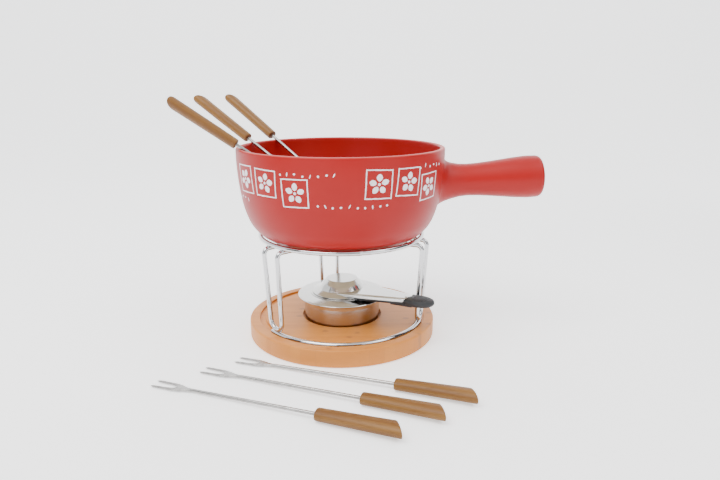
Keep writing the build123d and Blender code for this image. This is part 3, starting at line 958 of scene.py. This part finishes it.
arm = plate("arm", drop_outline, GRIP_ARM)
pocket = plate("pocket", drop_outline, [(-0.15, LIP - LIP_GAP), (-0.15, 9.0)])
heel = plate("heel", heel_outline, HEEL_LEVELS)
grip = mesh_with(paddle_mesh(), pocket, "DIFFERENCE")
grip = mesh_with(grip, arm, "UNION")
grip = mesh_with(grip, heel, "UNION")
grip.transform(tongue_place())
grip = mesh_with(grip, post(*TAB_ROOM), "DIFFERENCE")
grip = mesh_with(grip, post(*BRIM_ROOM), "DIFFERENCE")
fit(grip, black, "snuffer", ["snuffer_handle"])

rivet = turned("handle_rivet_head", rounded(RIVET_LINE, steps=6), 64)
rivet.transform(Matrix.Translation((RIVET_S * MM, 0, 0)))
rivet.transform(tongue_place())
fit(rivet, polished, "snuffer", ["handle_rivet"])


# -------- the forks
# Six long forks.  Each blade is one steel rod whose end is hammered flat, slit into two tines
# and pointed, and whose tang is glued into an oval wooden handle that is cut off on a slant.
FORK_STEEL = 174.0
FORK_END = 255.0
FORK_BLADE_END = 200.0
OUTER_EDGE = [(0, 5.35), (1.2, 5.85), (5, 6.3), (14, 6.2), (22, 6.05), (27, 5.7), (30, 5.2),
              (33, 4.3), (36, 3.3), (39, 2.55), (43, 1.95), (47, 1.75), (60, 1.75)]
INNER_EDGE = [(0, 4.85), (1.2, 4.35), (5, 4.0), (14, 3.7), (20, 3.3), (24, 2.4), (26, 1.3), (27, 0.0),
              (60, 0.0)]
THICKNESS = [(0, 0.5), (1.2, 1.1), (4, 1.9), (12, 2.0), (33, 2.0), (40, 2.5), (47, 3.5), (60, 3.5)]
SQUARENESS = [(0, 2.2), (6, 3.2), (30, 4.2), (40, 2.8), (47, 2.0), (60, 2.0)]
GRIP_WIDTHS = [(0, 13.6, 10.6), (8, 14.1, 10.8), (83, 18.5, 11.8)]
GRIP_SLANT = 12.0
POT_FORKS = ((199.8, 177.3, -158.0), (159.4, 156.7, -170.0), (136.5, 147.7, -165.0))
TABLE_FORKS = ((-183.0, -135.6, -23.1), (-142.3, -108.7, -23.5), (-111.1, -86.9, -22.1))
FORK_RIM = (112.4, 219.8, 170.3)
POT_FLOOR = 122.2
TABLE_TIP_Z = 1.3


def eased(table, where):
    """A smooth curve through the (place, value) pairs of a table, without overshoot."""
    xs = [pair[0] for pair in table]
    ys = [pair[1] for pair in table]
    slopes = [(b - a) / (d - c) for a, b, c, d in zip(ys, ys[1:], xs, xs[1:])]
    middles = [2 * a * b / (a + b) if a * b > 0 else 0.0 for a, b in zip(slopes, slopes[1:])]
    ways = slopes[:1] + middles + slopes[-1:]
    index = min(max(int(np.searchsorted(xs, where)) - 1, 0), len(slopes) - 1)
    span = xs[index + 1] - xs[index]
    t = min(max((where - xs[index]) / span, 0.0), 1.0)
    return (ys[index] * (2 * t ** 3 - 3 * t ** 2 + 1) + ways[index] * span * (t ** 3 - 2 * t ** 2 + t)
            + ys[index + 1] * (3 * t ** 2 - 2 * t ** 3) + ways[index + 1] * span * (t ** 3 - t ** 2))


def power(value, exponent):
    return math.copysign(abs(value) ** exponent, value)


def blade_mesh(name):
    """The blade along X from the tips: one half is drawn as rings and the other mirrors it."""
    stations = [0, 0.4, 0.8, 1.3, 2, 3, 4, 5, 7] + list(range(9, 21, 2))
    stations += [20 + 0.5 * step for step in range(54)]
    stations += [48, 60, 90, 120, 150, 170, FORK_BLADE_END]
    sides = 24
    points, faces = [], []
    for x in stations:
        outer = eased(OUTER_EDGE, min(x, 60))
        inner = eased(INNER_EDGE, min(x, 60))
        high = eased(THICKNESS, min(x, 60)) / 2
        bend = 2 / eased(SQUARENESS, min(x, 60))
        middle = (outer + inner) / 2 if inner > 0.9 else inner + (outer - inner) / 2 * min(1.0, inner / 0.9)
        for side in range(sides):
            angle = 2 * math.pi * side / sides
            across = power(math.cos(angle), bend)
            reach = (outer - middle) if across > 0 else (middle - inner)
            points.append(Vector((x, middle + across * reach, high * power(math.sin(angle), bend))) * MM)
    whole = tube_faces(len(stations), sides)
    flat = [abs(point.y) < 1e-9 for point in points]
    kept = [face for face in whole if not all(flat[corner] for corner in face)]
    count = len(points)
    points += [Vector((point.x, -point.y, point.z)) for point in points]
    faces = kept + [[corner + count for corner in face[::-1]] for face in kept]
    mesh = solid(name, points, faces, edge=55)
    return welded(mesh, 0.00001)


def welded(mesh, gap):
    """The mesh with points closer than the gap made one, and loose points gone."""
    work = bmesh.new()
    work.from_mesh(mesh)
    bmesh.ops.remove_doubles(work, verts=work.verts, dist=gap)
    bmesh.ops.delete(work, geom=[v for v in work.verts if not v.link_faces], context="VERTS")
    bmesh.ops.recalc_face_normals(work, faces=work.faces)
    work.to_mesh(mesh)
    work.free()
    return mesh


def grip_mesh(name, seed):
    """The oval handle as rings; each ring leans over more until the last lies on the slant."""
    shape = random.Random(seed)
    sides, stations = 48, 42
    length = FORK_END - FORK_STEEL
    middle = length - GRIP_SLANT / 2
    lean = GRIP_SLANT / GRIP_WIDTHS[-1][1]
    wander = shape.uniform(-0.15, 0.15)
    levels = [(0.0, 0.42), (0.0, 0.75), (0.25, 0.93), (0.9, 0.985), (1.8, 1.0)]
    levels += [(1.8 + (middle - 2.5) * step / stations, 1.0) for step in range(1, stations)]
    levels += [(middle - 0.5, 1.0), (middle - 0.12, 0.985), (middle, 0.95), (middle, 0.5)]
    points = []
    for along, share in levels:
        width = eased([(s, w) for s, w, t in GRIP_WIDTHS], along) / 2 * share
        thick = eased([(s, t) for s, w, t in GRIP_WIDTHS], along) / 2 * share
        slant = lean * min(1.0, max(0.0, (along - 20) / (middle - 20)))
        for side in range(sides):
            angle = 2 * math.pi * side / sides
            y = width * power(math.cos(angle), 0.94)
            z = thick * power(math.sin(angle), 0.94) + wander * math.sin(along / 26)
            points.append(Vector((FORK_STEEL + along - y * slant, y, z)) * MM)
    return solid(name, points, tube_faces(len(levels), sides), edge=40)


def fork_steel_finish():
    """Satin stainless rod: lengthwise polishing lines and grey scale in patches all along it."""
    steel = Finish("fork_steel", {"Metallic": 1.0})
    line = steel.noise(1.0, 3.0, stretch=(70, 2600, 2600))
    patch = steel.noise(130, 3.0).between(0.42, 0.72)
    worn = patch * 0.7 + line * 0.3
    steel.drive("Base Color", steel.blend(worn, (0.40, 0.39, 0.38, 1), (0.26, 0.25, 0.24, 1)))
    steel.drive("Roughness", 0.20 + line * 0.14 + patch * 0.08)
    steel.relief(line, 0.00006, 0.3)
    return steel


def fork_wood_finish(seed):
    """Oiled open-pored wood with its grain along the handle; the slanted cut is darker."""
    pick = random.Random(seed)
    shift = (pick.uniform(0, 9), pick.uniform(0, 9), pick.uniform(0, 9))
    wood = Finish(f"fork_wood_{seed}", {"Specular IOR Level": 0.3})
    band = wood.noise(1.0, 2.0, stretch=(9, 130, 130), shift=shift)
    figure = wood.noise(1.0, 3.0, stretch=(26, 520, 520), shift=shift)
    pore = wood.noise(1.0, 2.0, stretch=(130, 2600, 2600), shift=shift).between(0.56, 0.72)
    facing = wood.node("TexCoord", {}, {}, "Normal")
    end = wood.node("SeparateXYZ", {}, {0: facing}, "X").size().between(0.6, 0.8)
    colour = wood.blend(band.between(0.32, 0.68), (0.21, 0.098, 0.020, 1), (0.14, 0.057, 0.011, 1))
    colour = wood.blend(figure.between(0.45, 0.75) * 0.6, colour, (0.15, 0.058, 0.014, 1))
    colour = wood.blend(pore * 0.55, colour, (0.08, 0.034, 0.012, 1))
    wood.drive("Base Color", wood.blend(end * 0.5, colour, (0.13, 0.065, 0.03, 1)))
    wood.drive("Roughness", 0.46 + pore * 0.2 + end * 0.15)
    wood.relief(figure * 0.5 - pore, 0.0002, 0.2)
    return wood


def leaning(rim_azimuth, heading, roll):
    """Where a fork stands on the pot's floor and leans on its rim."""
    rim_r, rim_z, rim_s = FORK_RIM
    turn, plan, phi = (math.radians(value) for value in (roll, heading, rim_azimuth))
    tip_z = POT_FLOOR + 0.5 * (12.6 * abs(math.sin(turn)) + 2.0 * abs(math.cos(turn)))
    slope = math.asin((rim_z - tip_z) / rim_s)
    along = Vector((math.cos(slope) * math.cos(plan), math.cos(slope) * math.sin(plan), math.sin(slope)))
    tip = Vector((rim_r * math.cos(phi), rim_r * math.sin(phi), rim_z)) - along * rim_s
    side = Vector((-math.sin(plan), math.cos(plan), 0))
    frame_of_fork = Matrix((along, side, along.cross(side))).transposed().to_4x4()
    return Matrix.Translation(tip * MM) @ frame_of_fork @ Matrix.Rotation(turn, 4, "X")


def lying(tip_x, tip_y, heading):
    """Where a fork lies on the table, on its tips and the near edge of its handle."""
    slope = math.asin((GRIP_WIDTHS[0][2] / 2 - TABLE_TIP_Z + 0.2) / FORK_STEEL)
    turn = Matrix.Rotation(math.radians(heading), 4, "Z") @ Matrix.Rotation(-slope, 4, "Y")
    return Matrix.Translation(Vector((tip_x, tip_y, TABLE_TIP_Z)) * MM) @ turn


fork_steel = fork_steel_finish()
places = {f"pot_fork_{number}": leaning(*where) for number, where in enumerate(POT_FORKS, 1)}
places |= {f"table_fork_{number}": lying(*where) for number, where in enumerate(TABLE_FORKS, 1)}
for seed, (fork, place) in enumerate(places.items(), 1):
    fit(blade_mesh(f"{fork}_tines"), fork_steel, fork, [f"{fork}_blade"], place)
    grip = grip_mesh(f"{fork}_wood", seed)
    fit(grip, fork_wood_finish(seed), fork, [f"{fork}_handle"], place)


# -------- the table and the light
# A pale seamless studio sweep under and behind the set, large soft lights above it, and dull
# cards at its sides that give the bright metal something darker to mirror.
SWEEP = (-2.4, 1.1, 0.9, 3.2, 3.0)


def sweep_mesh():
    """A floor that curves up into a wall behind the set."""
    near, bend, radius, height, half = SWEEP
    line = [(near, 0.0), (0.0, 0.0), (bend, 0.0)]
    for step in range(1, 25):
        angle = math.pi / 2 * step / 24
        line.append((bend + radius * math.sin(angle), radius * (1 - math.cos(angle))))
    line.append((bend + radius, height))
    points = [(side * half, y, z - 0.0002) for y, z in line for side in (-1, 1)]
    faces = [[2 * row, 2 * row + 1, 2 * row + 3, 2 * row + 2] for row in range(len(line) - 1)]
    mesh = bpy.data.meshes.new("studio_sweep")
    mesh.from_pydata(points, [], faces)
    mesh.shade_smooth()
    return mesh


def stand_up(mesh, finish):
    thing = bpy.data.objects.new(mesh.name, mesh)
    bpy.context.scene.collection.objects.link(thing)
    mesh.materials.append(finish.material)
    return thing


def card(name, finish, centre, size):
    """An upright card that faces the set."""
    wide, high = size[0] / 2, size[1] / 2
    mesh = bpy.data.meshes.new(name)
    corners = [(-wide, 0, -high), (wide, 0, -high), (wide, 0, high), (-wide, 0, high)]
    mesh.from_pydata(corners, [], [[0, 1, 2, 3]])
    thing = stand_up(mesh, finish)
    spot = Vector(centre)
    thing.location = spot
    thing.rotation_euler = (0, 0, math.atan2(-spot.y, -spot.x) + math.pi / 2)
    thing.visible_camera = False


def soft_light(name, place, size, watts, aim=(0, 0, 0.1)):
    """A square area light aimed at the set."""
    lamp = bpy.data.lights.new(name, "AREA")
    lamp.shape, lamp.size, lamp.energy = "SQUARE", size, watts
    lamp.color = (1.0, 0.985, 0.965)
    thing = bpy.data.objects.new(name, lamp)
    bpy.context.scene.collection.objects.link(thing)
    thing.location = place
    thing.rotation_euler = (Vector(aim) - Vector(place)).to_track_quat("-Z", "Y").to_euler()


glow = {"Emission Color": (1, 1, 1, 1), "Emission Strength": 0.8}
paper = Finish("studio_paper", {"Specular IOR Level": 0.2} | glow)
tint = paper.noise(1.6, 2.0)
paper.drive("Base Color", paper.blend(tint, (0.90, 0.90, 0.902, 1), (0.885, 0.885, 0.89, 1)))
paper.drive("Roughness", 0.75 + tint * 0.1)
stand_up(sweep_mesh(), paper)

felt = Finish("dull_card", {"Specular IOR Level": 0.1})
weave = felt.noise(300, 2.0)
felt.drive("Base Color", felt.blend(weave, (0.03, 0.03, 0.03, 1), (0.05, 0.05, 0.05, 1)))
felt.drive("Roughness", 0.9 + weave * 0.1)
card("card_left", felt, (-1.15, -0.5, 0.45), (0.5, 1.2))
card("card_right", felt, (1.15, -0.1, 0.42), (0.9, 1.1))
card("card_front", felt, (0.25, -1.5, 0.5), (0.9, 0.9))

soft_light("key_light", (-0.7, -0.7, 1.9), 1.3, 46)
soft_light("fill_light", (1.4, -0.5, 1.4), 1.2, 16)
world = bpy.data.worlds.new("studio_air")
bpy.context.scene.world = world
world.use_nodes = True
world.node_tree.nodes["Background"].inputs["Color"].default_value = (0.96, 0.98, 1.0, 1)
world.node_tree.nodes["Background"].inputs["Strength"].default_value = 1.6

lens = bpy.data.cameras.new("camera")
lens.lens = 29.843
lens.sensor_width = 36.0
camera = bpy.data.objects.new("camera", lens)
bpy.context.scene.collection.objects.link(camera)
camera.location = (0.0, -0.66826, 0.28185)
camera.rotation_euler = (math.radians(90 - 14.558), 0.0, math.radians(-1.828))
bpy.context.scene.camera = camera
